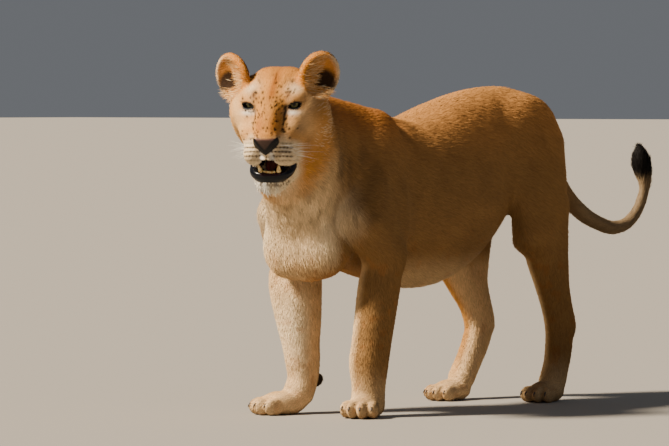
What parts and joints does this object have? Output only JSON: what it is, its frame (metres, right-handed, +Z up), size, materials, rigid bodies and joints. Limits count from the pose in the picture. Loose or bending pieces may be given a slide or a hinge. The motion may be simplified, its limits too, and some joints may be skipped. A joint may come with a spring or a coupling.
{
  "type": "lioness figure",
  "caption": "Life-size standing lioness with her head turned to the left, mouth slightly open and tail curled up at its end; a still museum-style model.",
  "frame": {"origin": "on the floor under the middle of the figure's box, nose to tail tip and side to side", "axes": "-X the way the body faces, -Y her left side, +Z up"},
  "size_m": [1.7911, 0.4327, 1.0027],
  "materials": {
    "coat": "short tawny fur",
    "pale_coat": "short pale tan fur",
    "tuft": "long near-black fur",
    "nose_skin": "pebbled damp skin, brown-pink with dark edges",
    "eye": "glossy grey-green iris with a round pupil",
    "tooth": "yellowed enamel",
    "tongue": "damp pink"
  },
  "bodies": {
    "root": {"abdomen": "coat", "ear_left": "coat", "ear_right": "coat", "eye_left": "eye", "eye_right": "eye", "forearm_left": "pale_coat", "forearm_right": "pale_coat", "forepaw_left": "pale_coat", "forepaw_right": "pale_coat", "head": "coat", "hindpaw_left": "pale_coat", "hindpaw_right": "pale_coat", "lower_jaw": "pale_coat", "metatarsus_left": "pale_coat", "metatarsus_right": "pale_coat", "neck": "coat", "nose_pad": "nose_skin", "rump": "coat", "shank_left": "coat", "shank_right": "coat", "tail_end": "coat", "tail_middle": "coat", "tail_root": "coat", "tail_tuft": "tuft", "thigh_left": "coat", "thigh_right": "coat", "thorax": "coat", "tongue": "tongue", "upper_arm_left": "coat", "upper_arm_right": "coat"}
  },
  "joints": []
}
